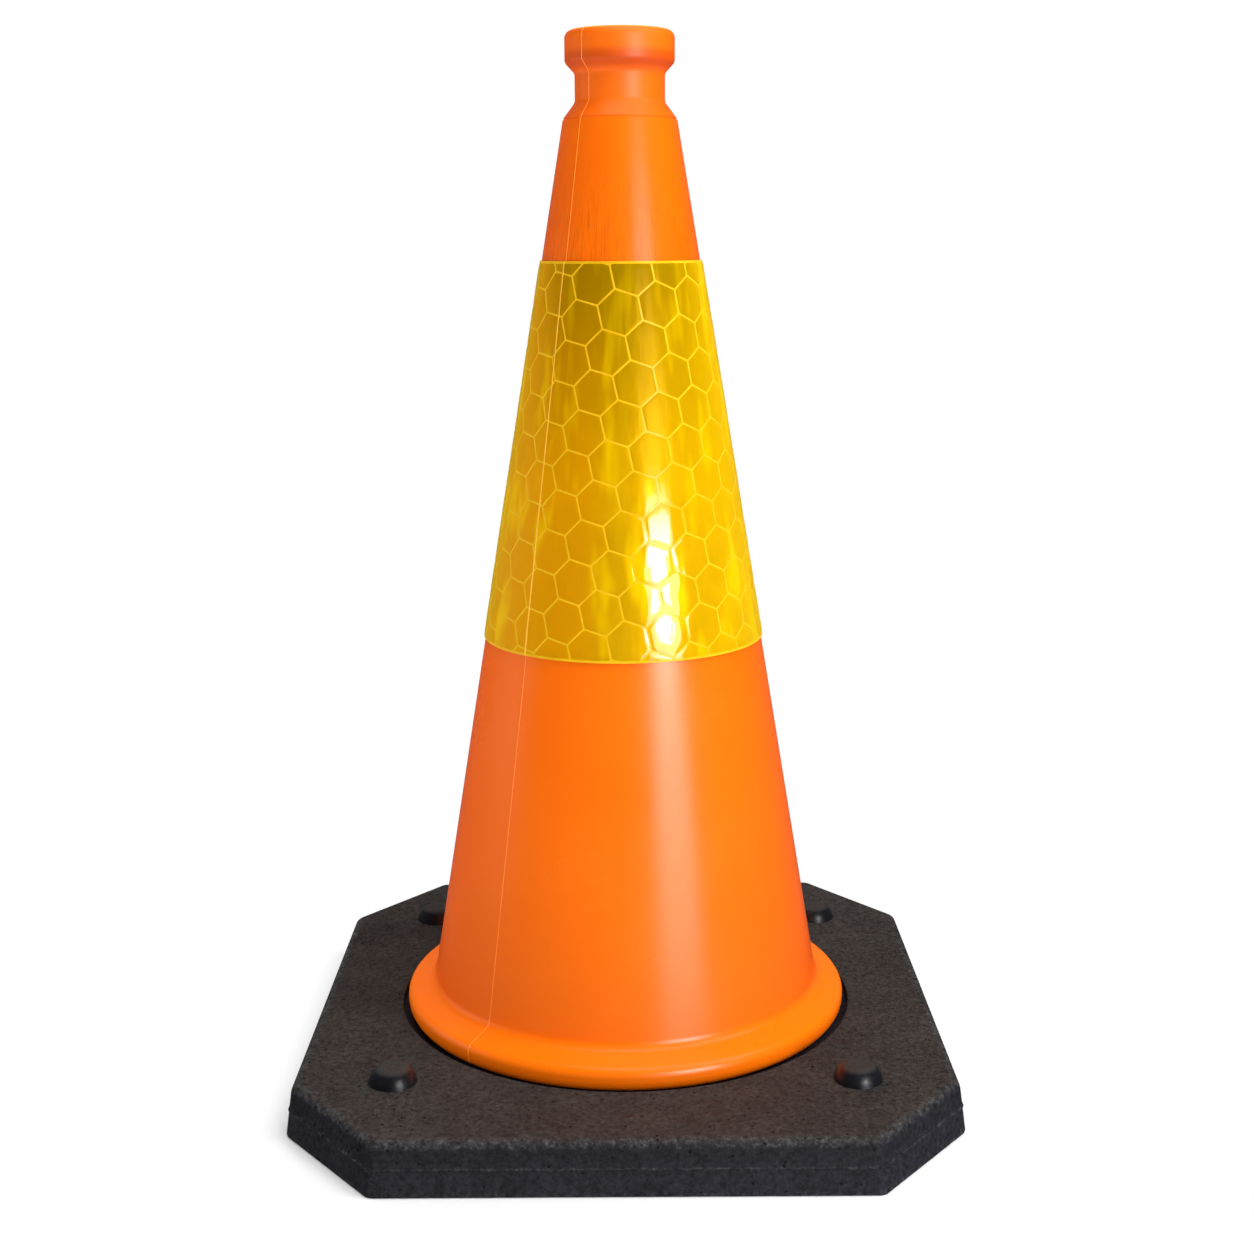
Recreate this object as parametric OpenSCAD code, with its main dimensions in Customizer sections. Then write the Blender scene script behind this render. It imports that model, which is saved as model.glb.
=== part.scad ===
// Road cone on a heavy rubber base.
// A hollow blow-moulded cone stands in the round seat of a moulded rubber slab,
// and wears a retroreflective sleeve made of two films.
// Millimetres, +Z up. The origin is on the ground, under the middle of the base.
// The front of the base faces -Y.

/* [Rubber base] */
// Width from side to side, at the foot
base_w = 474; // [420:1:520]
// Depth from front to rear, at the foot
base_d = 495; // [440:1:540]
// Thickness from the ground to the top face
base_t = 37.5; // [32:0.5:46]
// Length of each corner's cut along the front and rear
corner_cut_w = 68; // [40:1:80]
// Length of each corner's cut along the sides
corner_cut_d = 85; // [40:1:98]
// Plan radius where two sides meet
corner_r = 9; // [3:0.5:14]
// Height of the mould's parting line
parting_z = 19; // [12:0.5:22]
// How far the sides lean in, from the foot to the top edge
side_draft = 4; // [1:0.1:6]
// Rounding of the top edge
top_edge_r = 6; // [3:0.5:8]
// Bevel of the bottom edge
bottom_bevel = 1.6; // [0.8:0.1:3]
// How far the flash stands out at the parting line
flash_h = 0.7; // [0.3:0.1:1.2]
// Height of the band of flash
flash_band = 1.6; // [0.8:0.1:3]

/* [Seat of the cone] */
// Depth of the round seat in the top face
seat_depth = 5.5; // [4:0.5:8]
// Gap round the cone's rim, inside the seat
seat_gap = 4; // [2.5:0.5:6]
// Bevel at the mouth of the seat
seat_bevel = 1.5; // [1:0.5:3]
// Radial clearance of the cone's spigot in the hole
push_clear = 0.3; // [0.2:0.05:0.5]
// Depth of the stacking relief in the underside
relief_depth = 8; // [5:0.5:11]
// Width of the stacking relief, from the hole outwards
relief_w = 14; // [11:0.5:18]

/* [Stacking studs] */
// Distance of each stud's centre from the nearest side of the base
stud_inset_w = 75; // [66:1:84]
// Distance of each stud's centre from the front or rear of the base
stud_inset_d = 93; // [82:1:102]
// Radius of the dome where it meets the base
stud_r = 17; // [13:0.5:20]
// Height of the dome above the base
stud_h = 11; // [8:0.5:14]
// Radius of the flat on top of the dome
stud_flat_r = 7; // [4:0.5:9]
// Rounding between the flat and the side of the dome
stud_round = 5; // [3:0.5:7]
// Radius of the stem
stem_r = 8; // [6:0.5:10]
// Length of the stem below the dome
stem_l = 14; // [10:0.5:18]
// Clearance of the stem in its socket, all round and at its tip
stem_clear = 0.2; // [0.1:0.05:0.4]

/* [Cone] */
// Height of the top of the cone above the ground
total_h = 752; // [735:0.5:800]
// Radius of the foot rim
rim_r = 167.5; // [164:0.5:174]
// Height of the rim's outer corner above the seat, before rounding
rim_corner_h = 17; // [15:0.1:19]
// Rounding of the rim's outer corner
rim_round = 8; // [5:0.5:10]
// Outer rounding of the lip that curls under the rim
lip_round = 12; // [8:0.5:13]
// Width of the curled lip, from the rim's outside inwards
lip_w = 13.5; // [12:0.5:14.5]
// Radius of the wall where it meets the rim
wall_foot_r = 146.6; // [144:0.1:149]
// Height above the seat where the wall meets the rim
wall_foot_h = 25.5; // [23:0.5:29]
// Fillet between the wall and the rim
rim_fillet = 9; // [5:0.5:12]
// Thickness of the wall, measured level
wall = 3.2; // [2.4:0.1:4]
// How far the spigot reaches below the seat
spigot_l = 18; // [14:0.5:19]

/* [Head of the cone] */
// Radius of the shoulder under the neck
shoulder_r = 40.5; // [38:0.5:44]
// Distance of the shoulder below the top
shoulder_drop = 60; // [56:0.5:66]
// Radius of the neck
neck_r = 31.7; // [31:0.1:34]
// Distance of the neck's foot below the top
neck_foot_drop = 48.5; // [46:0.5:52]
// Distance of the neck's upper end below the top
neck_top_drop = 29; // [27:0.5:32]
// Radius of the gripping bead
bead_r = 38.6; // [36:0.1:41]
// Distance of the bead's lower corner below the top
bead_drop = 21.5; // [18:0.5:24]
// Rounding of the bead's top edge
bead_round = 5.5; // [3:0.5:5.5]
// Rounding of the soft corners of the shoulder, neck and bead
head_round = 5; // [2:0.5:6]
// Depth of the fine step round the shoulder
step_d = 0.7; // [0.3:0.1:0.9]
// Radius of the lamp socket through the head
socket_r = 27.5; // [26:0.1:28.5]

/* [Mould seam] */
// Turn of the seam from the front, towards the left
seam_turn = 42; // [0:1:80]
// Height of the seam above the wall
seam_h = 0.35; // [0.1:0.05:0.4]
// Width of the seam
seam_w = 1.4; // [0.6:0.1:1.6]

/* [Reflective sleeve] */
// Height of the sleeve's lower edge above the ground
sleeve_z = 323; // [280:0.5:340]
// Height of the sleeve
sleeve_h = 272; // [220:1:300]
// Clearance between the sleeve and the wall
sleeve_clear = 0.45; // [0.45:0.05:0.7]
// Thickness of the backing film
backing_t = 0.25; // [0.15:0.05:0.4]
// Air gap behind the face film
air_gap = 0.05; // [0.05:0.05:0.1]
// Thickness of the face film
face_t = 0.45; // [0.3:0.05:0.8]
// Width of the welded lap at the back
lap_w = 14; // [8:1:20]
// Width of the film's bulge over the mould seam
bulge_w = 2.4; // [1.7:0.1:4]

/* [Hidden] */
$fn = 96;

// How far a cutting tool runs past the face that it cuts
overrun = 1;
// Points along each rounded corner
arc_steps = 6;

// Small roundings of the cone that follow the wall
soft_edge = wall / 2;
inner_fillet = 2 * wall;

// Levels, measured from the ground
seat_z = base_t - seat_depth;
rim_corner_z = seat_z + rim_corner_h;
wall_foot_z = seat_z + wall_foot_h;
spigot_foot_z = seat_z - spigot_l;
shoulder_z = total_h - shoulder_drop;
neck_foot_z = total_h - neck_foot_drop;
neck_top_z = total_h - neck_top_drop;
bead_foot_z = total_h - bead_drop;

// Radius of the cone's outside at height z, between the rim and the shoulder
wall_lean = (wall_foot_r - shoulder_r) / (shoulder_z - wall_foot_z);
function wall_r(z) = wall_foot_r - wall_lean * (z - wall_foot_z);

// Level of the rim's sloping top at radius r
rim_fall = (wall_foot_z - rim_corner_z) / (rim_r - wall_foot_r);
function rim_z(r) = wall_foot_z - rim_fall * (r - wall_foot_r);

// The spigot carries on from the inside of the wall, and the hole fits round it
spigot_in_r = wall_r(seat_z) - wall;
spigot_r = spigot_in_r + wall;
hole_r = spigot_r + push_clear;
seat_r = rim_r + seat_gap;
relief_r = hole_r + relief_w;

// Distance of each stud from the base's two middle lines
stud_x = base_w / 2 - stud_inset_w;
stud_y = base_d / 2 - stud_inset_d;

// Polar angle of the mould seam, from +X
front_angle = 270;
seam_angle = front_angle - seam_turn;
// The seam is rooted this deep in the piece that carries it
seam_root_share = 0.5;

// Radial build-up of the sleeve, out from the wall
backing_in = sleeve_clear;
backing_out = backing_in + backing_t;
face_in = backing_out + air_gap;
face_out = face_in + face_t;
sleeve_top_z = sleeve_z + sleeve_h;
sleeve_mid_r = wall_r(sleeve_z + sleeve_h / 2) + face_out;

// Unit vector from a to b
function toward(a, b) = (b - a) / norm(b - a);

// How far from the corner v, between p and n, an arc of radius r starts
function arc_reach(p, v, n, r) = r / tan(acos(toward(v, p) * toward(v, n)) / 2);

// Points of the arc that rounds the corner v between p and n, starting at this reach from it
function corner_arc(p, v, n, reach) =
    let (u = toward(v, p), w = toward(v, n),
         half = acos(u * w) / 2,
         r = reach * tan(half),
         centre = v + toward([0, 0], u + w) * r / sin(half),
         from = v + u * reach - centre,
         to = v + w * reach - centre,
         a = atan2(from.y, from.x),
         b = atan2(to.y, to.x) - a,
         sweep = b > 180 ? b - 360 : b < -180 ? b + 360 : b)
    [for (i = [0 : arc_steps]) centre + r * [cos(a + sweep * i / arc_steps), sin(a + sweep * i / arc_steps)]];

// Outline through corners written as [radius, height, rounding].
// Two corners share the side between them, so arcs that are too long for it shrink together.
function rounded(path) =
    let (n = len(path),
         at = function (i) [path[(i + n) % n].x, path[(i + n) % n].y],
         want = [for (i = [0 : n - 1]) path[i].z > 0 ? arc_reach(at(i - 1), at(i), at(i + 1), path[i].z) : 0],
         room = function (i, k) norm(at(i) - at(k)) / (want[i] + want[(k + n) % n]))
    [for (i = [0 : n - 1]) each want[i] > 0
        ? corner_arc(at(i - 1), at(i), at(i + 1), want[i] * min(1, room(i, i - 1), room(i, i + 1)))
        : [at(i)]];

// Plan of the base, a rectangle with its corners cut, drawn in by inset.
// The two ends of one cut are found first, the other three cuts mirror them.
function base_plan(inset) =
    let (out = toward([0, 0], [corner_cut_d, corner_cut_w]),
         a = [base_w / 2 - inset, base_d / 2 - corner_cut_d - inset * (1 - out.x) / out.y],
         b = [base_w / 2 - corner_cut_w - inset * (1 - out.y) / out.x, base_d / 2 - inset],
         corners = [a, b, [-b.x, b.y], [-a.x, a.y], -a, -b, [b.x, -b.y], [a.x, -a.y]])
    rounded([for (c = corners) [c.x, c.y, corner_r]]);

// How far the base's side has leaned in at height z
function lean_in(z) = side_draft * (z - bottom_bevel) / (base_t - top_edge_r - bottom_bevel);

// Levels of the base's side, each as [height, inset]
function base_levels() =
    let (below = parting_z - flash_band / 2, above = parting_z + flash_band / 2)
    [[0, bottom_bevel],
     [bottom_bevel, 0],
     [below, lean_in(below)],
     [parting_z, lean_in(parting_z) - flash_h],
     [above, lean_in(above)],
     for (i = [0 : arc_steps])
        let (a = 90 * i / arc_steps)
        [base_t - top_edge_r * (1 - sin(a)), side_draft + top_edge_r * (1 - cos(a))]];

// Solid through a stack of plans that all have the same number of points
module loft(levels) {
    rings = [for (level = levels) [for (p = base_plan(level[1])) [p.x, p.y, level[0]]]];
    n = len(rings[0]);
    last = (len(rings) - 1) * n;
    sides = [for (k = [0 : len(rings) - 2], i = [0 : n - 1])
        let (a = k * n + i, b = k * n + (i + 1) % n)
        each [[a, a + n, b], [b, a + n, b + n]]];
    polyhedron([for (ring = rings) each ring],
               [[for (i = [0 : n - 1]) i], each sides, [for (i = [n - 1 : -1 : 0]) last + i]]);
}

// Heavy slab of recycled rubber, moulded in two halves that leave a line of flash round the side.
// The cone's rim stands in the seat, its spigot is pushed into the hole,
// and the relief below clears the rim of the next cone down when they are stacked.
module rubber_base() {
    color("#35322f")
    difference() {
        loft(base_levels());
        translate([0, 0, seat_z]) cylinder(r = seat_r, h = seat_depth + overrun);
        translate([0, 0, base_t - seat_bevel])
            cylinder(r1 = seat_r, r2 = seat_r + seat_bevel + overrun, h = seat_bevel + overrun);
        translate([0, 0, -overrun]) cylinder(r = hole_r, h = base_t);
        translate([0, 0, -overrun]) cylinder(r = relief_r, h = relief_depth + overrun);
        for (x = [-1, 1], y = [-1, 1])
            translate([x * stud_x, y * stud_y, base_t - stem_l - stem_clear])
                cylinder(r = stem_r + stem_clear, h = stem_l + stem_clear + overrun);
    }
}

// Rubber stud that keeps stacked bases apart: a blunt dome on a stem pushed into the base
module stacking_stud(x, y) {
    color("#26262a")
    translate([x * stud_x, y * stud_y, base_t])
        rotate_extrude()
            polygon(rounded([[0, -stem_l, 0],
                             [stem_r, -stem_l, stem_clear],
                             [stem_r, 0, 0],
                             [stud_r, 0, 0],
                             [(stud_r + stud_flat_r + stud_round) / 2, stud_h, stud_round],
                             [0, stud_h, 0]]));
}

// Corners of the cone's outside from the seat to the top, moved out by grow
function cone_outside(grow) =
    [[rim_r + grow, seat_z, lip_round],
     [rim_r + grow, rim_corner_z + grow, rim_round],
     [wall_foot_r + grow, wall_foot_z + grow, rim_fillet],
     [shoulder_r + grow, shoulder_z, 0],
     [shoulder_r + grow - step_d, shoulder_z + step_d, 0],
     [neck_r + grow, neck_foot_z, head_round],
     [neck_r + grow, neck_top_z, head_round],
     [bead_r + grow, bead_foot_z, head_round],
     [bead_r + grow, total_h, bead_round]];

// Corners of the cone's inside, from the socket in the head down to the spigot
// and back up through the channel under the rim to the end of the curled lip
function cone_inside() =
    let (shoulder_in_z = shoulder_z - wall,
         roof = wall * sqrt(1 + rim_fall * rim_fall),
         lip_in_r = rim_r - wall,
         lip_end_r = rim_r - lip_w)
    [[socket_r, total_h, soft_edge],
     [socket_r, neck_foot_z - wall, soft_edge],
     [wall_r(shoulder_in_z) - wall, shoulder_in_z, soft_edge],
     [spigot_in_r, seat_z, inner_fillet],
     [spigot_in_r, spigot_foot_z, soft_edge / 2],
     [spigot_r, spigot_foot_z, soft_edge / 2],
     [spigot_r, rim_z(spigot_r) - roof, soft_edge],
     [lip_in_r, rim_z(lip_in_r) - roof, soft_edge],
     [lip_in_r, seat_z + wall, lip_round - wall],
     [lip_end_r, seat_z + wall, soft_edge / 2],
     [lip_end_r, seat_z, soft_edge / 2]];

// Thin upright rib along the mould seam, on both sides of the axis.
// The rib follows the outline between the two lists of points.
module seam_rib(inner, outer, width) {
    backwards = [for (i = [len(inner) - 1 : -1 : 0]) inner[i]];
    for (turn = [seam_angle, seam_angle + 180])
        rotate([90, 0, turn])
            linear_extrude(height = width, center = true)
                polygon(concat(outer, backwards));
}

// Outline of the cone's outside as an open run of points, without the flat top and the curl under the rim
function outside_run(grow) =
    let (path = cone_outside(grow), run = rounded(concat(path, [[socket_r, total_h, 0], [socket_r, seat_z, 0]])))
    [for (p = run) if (p.x > socket_r && p.y > seat_z + wall) p];

// Blow-moulded cone: rim, tapering wall, shoulder, neck and gripping bead in one hollow piece
module cone_body() {
    color("#f97306") {
        rotate_extrude() polygon(rounded(concat(cone_outside(0), cone_inside())));
        seam_rib(outside_run(-wall * seam_root_share), outside_run(seam_h), seam_w);
    }
}

// Section of one film of the sleeve, between two distances out from the wall
function film(inside, outside) =
    [[wall_r(sleeve_z) + inside, sleeve_z],
     [wall_r(sleeve_z) + outside, sleeve_z],
     [wall_r(sleeve_top_z) + outside, sleeve_top_z],
     [wall_r(sleeve_top_z) + inside, sleeve_top_z]];

// One side of such a section, from the lower edge to the upper
function film_edge(out) = [[wall_r(sleeve_z) + out, sleeve_z], [wall_r(sleeve_top_z) + out, sleeve_top_z]];

// Plain backing film, next to the cone
module sleeve_backing() {
    color("#e9d36a") rotate_extrude() polygon(film(backing_in, backing_out));
}

// Clear yellow face film. It bulges over the mould seam, and its ends lap in a weld at the back.
module sleeve_face() {
    lap_turn = lap_w / sleeve_mid_r * 180 / PI;
    bulge_root = face_t * seam_root_share;
    color("#f2b705") {
        rotate_extrude() polygon(film(face_in, face_out));
        seam_rib(film_edge(face_out - bulge_root), film_edge(face_out + seam_h), bulge_w);
        rotate([0, 0, 90 - lap_turn / 2])
            rotate_extrude(angle = lap_turn) polygon(film(face_out - bulge_root, face_out + face_t));
    }
}

rubber_base();
stacking_stud(-1, -1);  // stud_front_left
stacking_stud(1, -1);  // stud_front_right
stacking_stud(-1, 1);  // stud_rear_left
stacking_stud(1, 1);  // stud_rear_right
cone_body();
sleeve_backing();
sleeve_face();
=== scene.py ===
import bmesh
import bpy
import math
from mathutils import Matrix, Vector


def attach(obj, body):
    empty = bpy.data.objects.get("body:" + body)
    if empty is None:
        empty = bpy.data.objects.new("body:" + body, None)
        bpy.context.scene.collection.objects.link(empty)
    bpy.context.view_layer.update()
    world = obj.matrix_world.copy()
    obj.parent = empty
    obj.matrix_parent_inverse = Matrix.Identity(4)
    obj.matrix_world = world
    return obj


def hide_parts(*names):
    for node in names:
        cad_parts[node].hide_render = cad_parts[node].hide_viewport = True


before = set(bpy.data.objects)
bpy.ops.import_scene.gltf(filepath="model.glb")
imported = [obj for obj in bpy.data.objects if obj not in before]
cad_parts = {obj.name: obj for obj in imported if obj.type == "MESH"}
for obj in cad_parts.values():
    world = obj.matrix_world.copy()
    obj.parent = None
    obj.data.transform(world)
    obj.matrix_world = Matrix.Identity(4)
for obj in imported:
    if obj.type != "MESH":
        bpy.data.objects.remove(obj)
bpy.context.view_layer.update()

# Rubber base. A heavy slab of recycled rubber, pressed in a mould of two halves that leaves
# a line of flash round its side at mid height. The cone's rim stands in the round seat on top,
# and the wider relief under the hole gives room to the next cone down in a stack.
mm = 0.001
base_width, base_depth, base_thick = 474 * mm, 495 * mm, 37.5 * mm
cut_width, cut_depth, corner_round = 68 * mm, 85 * mm, 9 * mm
flash_height, flash_stand, flash_band = 19 * mm, 0.7 * mm, 0.8 * mm
side_draft, top_round, foot_bevel = 4.9 * mm, 6 * mm, 1.6 * mm
seat_radius, seat_level, seat_bevel = 171.5 * mm, 32 * mm, 1.5 * mm
hole_radius, relief_radius, relief_level = 151.2 * mm, 165.2 * mm, 8 * mm
stud_x, stud_y = 162 * mm, 154.5 * mm
stem_radius, stem_depth, stem_clear = 8 * mm, 14 * mm, 0.2 * mm
box_clear, overrun, touch, fine_weld = 0.05 * mm, 2 * mm, 0.01 * mm, 0.002 * mm
half_x, half_y = base_width / 2 - box_clear, base_depth / 2 - box_clear


def select(piece, kind, test):
    """In edit mode, selects each vertex, edge or face whose list of corners passes the test."""
    bpy.ops.mesh.select_mode(type=kind)
    bpy.ops.mesh.select_all(action="DESELECT")
    edit = bmesh.from_edit_mesh(piece.data)
    for part in {"VERT": edit.verts, "EDGE": edit.edges, "FACE": edit.faces}[kind]:
        part.select_set(test([part.co] if kind == "VERT" else [v.co for v in part.verts]))
    edit.select_flush_mode()
    bmesh.update_edit_mesh(piece.data)


def level(height):
    """A test for select: all corners lie at this height."""
    return lambda corners: all(abs(c.z - height) < touch for c in corners)


def finish_with(piece, kind, **settings):
    """Adds a modifier to the piece and applies it."""
    bpy.context.view_layer.objects.active = piece
    made = piece.modifiers.new(kind.lower(), kind)
    for name, value in settings.items():
        setattr(made, name, value)
    bpy.ops.object.modifier_apply(modifier=made.name)


def draw_line(name, outline, side=0):
    """Draws (radius, height) points by extruding a vertex in the X-Z plane, and stays in edit mode."""
    bpy.ops.object.select_all(action="DESELECT")
    bpy.ops.mesh.primitive_plane_add(size=mm)
    piece = bpy.context.active_object
    piece.name = name
    bpy.ops.object.mode_set(mode="EDIT")
    bpy.ops.mesh.select_mode(type="VERT")
    bpy.ops.mesh.select_all(action="SELECT")
    bpy.ops.mesh.merge(type="CENTER")
    bpy.ops.transform.translate(value=(outline[0][0], side, outline[0][1]))
    for here, there in zip(outline, outline[1:]):
        step = {"value": (there[0] - here[0], 0, there[1] - here[1])}
        bpy.ops.mesh.extrude_region_move(TRANSFORM_OT_translate=step)
    return piece


def lathe(name, outline, steps):
    """Draws an outline of (radius, height) points and spins it about Z."""
    piece = draw_line(name, outline)
    bpy.ops.mesh.select_all(action="SELECT")
    bpy.ops.mesh.spin(steps=steps, angle=2 * math.pi, center=(0, 0, 0), axis=(0, 0, 1))
    bpy.ops.mesh.select_all(action="SELECT")
    bpy.ops.mesh.remove_doubles(threshold=fine_weld)
    bpy.ops.mesh.normals_make_consistent(inside=False)
    bpy.ops.object.mode_set(mode="OBJECT")
    return piece


def spread(out, height):
    """In edit mode, moves the selected sides of the base out by this much, or in if it is below zero."""
    bpy.ops.transform.resize(value=(1 + out / half_x, 1 + out / half_y, 1), center_override=(0, 0, height))


def standing(corners):
    """A test for select: the edge runs from the foot of the base to its top."""
    return abs(corners[0].z - corners[1].z) > base_thick / 2


bpy.ops.object.select_all(action="DESELECT")
bpy.ops.mesh.primitive_cube_add(size=1, location=(0, 0, base_thick / 2),
                                scale=(2 * half_x, 2 * half_y, base_thick))
slab = bpy.context.active_object
slab.name = "base_slab"
bpy.ops.object.transform_apply(location=True, rotation=True, scale=True)
bpy.ops.object.mode_set(mode="EDIT")
select(slab, "EDGE", standing)
bpy.ops.mesh.bevel(offset=cut_width, segments=1, affect="EDGES")
select(slab, "VERT", lambda corners: abs(corners[0].x) > half_x - touch)
longer_cut = (half_y - cut_depth) / (half_y - cut_width)
bpy.ops.transform.resize(value=(1, longer_cut, 1), center_override=(0, 0, 0))
select(slab, "EDGE", standing)
bpy.ops.mesh.bevel(offset=corner_round * math.tan(math.pi / 8), segments=5, affect="EDGES")
select(slab, "VERT", level(base_thick))
spread(-side_draft, base_thick)
bpy.ops.mesh.select_all(action="SELECT")
bpy.ops.mesh.bisect(plane_co=(0, 0, flash_height), plane_no=(0, 0, 1))
select(slab, "EDGE", level(flash_height))
bpy.ops.mesh.bevel(offset=flash_band, segments=2, affect="EDGES")
select(slab, "EDGE", level(flash_height))
spread(flash_stand, flash_height)
select(slab, "EDGE", level(base_thick))
bpy.ops.mesh.bevel(offset=top_round, segments=6, affect="EDGES")
select(slab, "EDGE", level(0))
bpy.ops.mesh.bevel(offset=foot_bevel, segments=2, affect="EDGES")
bpy.ops.object.mode_set(mode="OBJECT")

cutter = lathe("seat_cutter", [
    (0, -overrun), (relief_radius, -overrun), (relief_radius, relief_level), (hole_radius, relief_level),
    (hole_radius, seat_level), (seat_radius, seat_level), (seat_radius, base_thick - seat_bevel),
    (seat_radius + seat_bevel / 3, base_thick - seat_bevel / 3), (seat_radius + seat_bevel, base_thick),
    (seat_radius + 2 * seat_bevel, base_thick + overrun), (0, base_thick + overrun)], 160)
finish_with(slab, "BOOLEAN", object=cutter, operation="DIFFERENCE", solver="EXACT")
bpy.data.objects.remove(cutter)

stem_hole, stem_hole_foot = stem_radius + stem_clear, base_thick - stem_depth - stem_clear
for x in (-1, 1):
    for y in (-1, 1):
        socket = lathe("socket_cutter", [
            (0, stem_hole_foot), (stem_hole, stem_hole_foot),
            (stem_hole, base_thick + overrun), (0, base_thick + overrun)], 48)
        socket.location = (x * stud_x, y * stud_y, 0)
        finish_with(slab, "BOOLEAN", object=socket, operation="DIFFERENCE", solver="EXACT")
        bpy.data.objects.remove(socket)

bpy.ops.object.select_all(action="DESELECT")
slab.select_set(True)
bpy.context.view_layer.objects.active = slab
bpy.ops.object.mode_set(mode="EDIT")
bpy.ops.mesh.select_all(action="SELECT")
bpy.ops.mesh.remove_doubles(threshold=touch)
bpy.ops.object.mode_set(mode="OBJECT")
bpy.ops.object.shade_smooth_by_angle(angle=math.radians(35))
finish_with(slab, "WEIGHTED_NORMAL", keep_sharp=True)


def linear(colour):
    """A hex sRGB colour as linear light."""
    channels = [int(colour[i:i + 2], 16) / 255 for i in (1, 3, 5)]
    return [c / 12.92 if c <= 0.04045 else ((c + 0.055) / 1.055) ** 2.4 for c in channels] + [1]


def add(tree, kind, settings, inputs, output=0):
    """Adds a node, sets its properties, sets or links its inputs, and returns one of its outputs."""
    made = tree.nodes.new(kind)
    for name, value in settings.items():
        setattr(made, name, value)
    for key, value in inputs.items():
        if isinstance(value, bpy.types.NodeSocket):
            tree.links.new(value, made.inputs[key])
        else:
            made.inputs[key].default_value = value
    return made.outputs[output]


def start_material(name):
    """A material of this name, new or already on a piece, with its node tree and shader."""
    made = bpy.data.materials.get(name) or bpy.data.materials.new(name)
    made.use_nodes = True
    return made, made.node_tree, made.node_tree.nodes["Principled BSDF"]


def beyond_sides(tree, place):
    """Adds nodes for how far a place lies outside the base's foot, seen from above."""
    folded = add(tree, "ShaderNodeVectorMath", {"operation": "ABSOLUTE"}, {0: place})
    away = add(tree, "ShaderNodeSeparateXYZ", {}, {"Vector": folded}).node
    reach = add(tree, "ShaderNodeMath", {"operation": "SUBTRACT"}, {0: away.outputs["X"], 1: half_x})
    depth = add(tree, "ShaderNodeMath", {"operation": "SUBTRACT"}, {0: away.outputs["Y"], 1: half_y})
    reach = add(tree, "ShaderNodeMath", {"operation": "MAXIMUM"}, {0: reach, 1: depth})
    cut_out = Vector((cut_depth, cut_width, 0)).normalized()
    cut_reach = cut_out.x * half_x + cut_out.y * (half_y - cut_depth)
    slant = add(tree, "ShaderNodeVectorMath", {"operation": "DOT_PRODUCT"},
                {0: folded, 1: cut_out}, "Value")
    slant = add(tree, "ShaderNodeMath", {"operation": "SUBTRACT"}, {0: slant, 1: cut_reach})
    return add(tree, "ShaderNodeMath", {"operation": "MAXIMUM"}, {0: reach, 1: slant})


# Recycled rubber, pressed from crumb: dull black, painted darker and bluer on the sides as shade and
# brown-grey on top from dust and painted light from above, fine grit and pits, and edges and flash scuffed
# paler by stacking and dragging.
rubber, tree, shader = start_material("recycled_rubber")
place = add(tree, "ShaderNodeTexCoord", {}, {}, "Object")
blotch = add(tree, "ShaderNodeTexNoise", {},
             {"Vector": place, "Scale": 1 / (45 * mm), "Detail": 8.0, "Roughness": 0.7})
grit = add(tree, "ShaderNodeTexNoise", {},
           {"Vector": place, "Scale": 1 / (3.5 * mm), "Detail": 5.0, "Roughness": 0.8})
crumb = add(tree, "ShaderNodeTexVoronoi", {"feature": "F1"}, {"Vector": place, "Scale": 1 / (7 * mm)})
pick = add(tree, "ShaderNodeSeparateXYZ", {}, {"Vector": crumb.node.outputs["Color"]})
pit = add(tree, "ShaderNodeMapRange", {"interpolation_type": "SMOOTHSTEP"},
          {"Value": crumb, "From Min": 0.2, "From Max": 0.07, "To Min": 0.0, "To Max": 1.0})
some = add(tree, "ShaderNodeMath", {"operation": "GREATER_THAN"}, {0: pick, 1: 0.62})
pit = add(tree, "ShaderNodeMath", {"operation": "MULTIPLY"}, {0: pit, 1: some})
height = add(tree, "ShaderNodeSeparateXYZ", {}, {"Vector": place}, "Z")
reach = beyond_sides(tree, place)
# Dust and painted light from above make the top paler, and painted shade darkens the side below the top
# edge.
dust_and_top_light = add(tree, "ShaderNodeMapRange", {"interpolation_type": "SMOOTHSTEP"},
           {"Value": height, "From Min": base_thick - 4 * mm, "From Max": base_thick - 0.1 * mm,
            "To Min": 0.0, "To Max": 1.0})
side_tone = add(tree, "ShaderNodeMixRGB", {},
                {"Fac": blotch, "Color1": linear("#1b1a20"), "Color2": linear("#2d2c33")})
top_tone = add(tree, "ShaderNodeMixRGB", {},
               {"Fac": blotch, "Color1": linear("#201d1c"), "Color2": linear("#403c39")})
tone = add(tree, "ShaderNodeMixRGB", {}, {"Fac": dust_and_top_light, "Color1": side_tone, "Color2": top_tone})
# Scuffs follow the top edge, the flash and the foot, and are broken into patches.
at_rim = add(tree, "ShaderNodeMapRange", {"interpolation_type": "SMOOTHSTEP"},
             {"Value": reach, "From Min": -13 * mm, "From Max": -7 * mm, "To Min": 0.0, "To Max": 1.0})
on_top = add(tree, "ShaderNodeMapRange", {"interpolation_type": "SMOOTHSTEP"},
             {"Value": height, "From Min": base_thick - 6 * mm, "From Max": base_thick - 3 * mm,
              "To Min": 0.0, "To Max": 1.0})
rubbed = add(tree, "ShaderNodeMath", {"operation": "MULTIPLY"}, {0: at_rim, 1: on_top})
off_flash = add(tree, "ShaderNodeMath", {"operation": "SUBTRACT"}, {0: height, 1: flash_height})
off_flash = add(tree, "ShaderNodeMath", {"operation": "ABSOLUTE"}, {0: off_flash})
at_flash = add(tree, "ShaderNodeMapRange", {},
               {"Value": off_flash, "From Min": 1.5 * mm, "From Max": 0.5 * mm, "To Min": 0.0,
                "To Max": 0.75})
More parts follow.
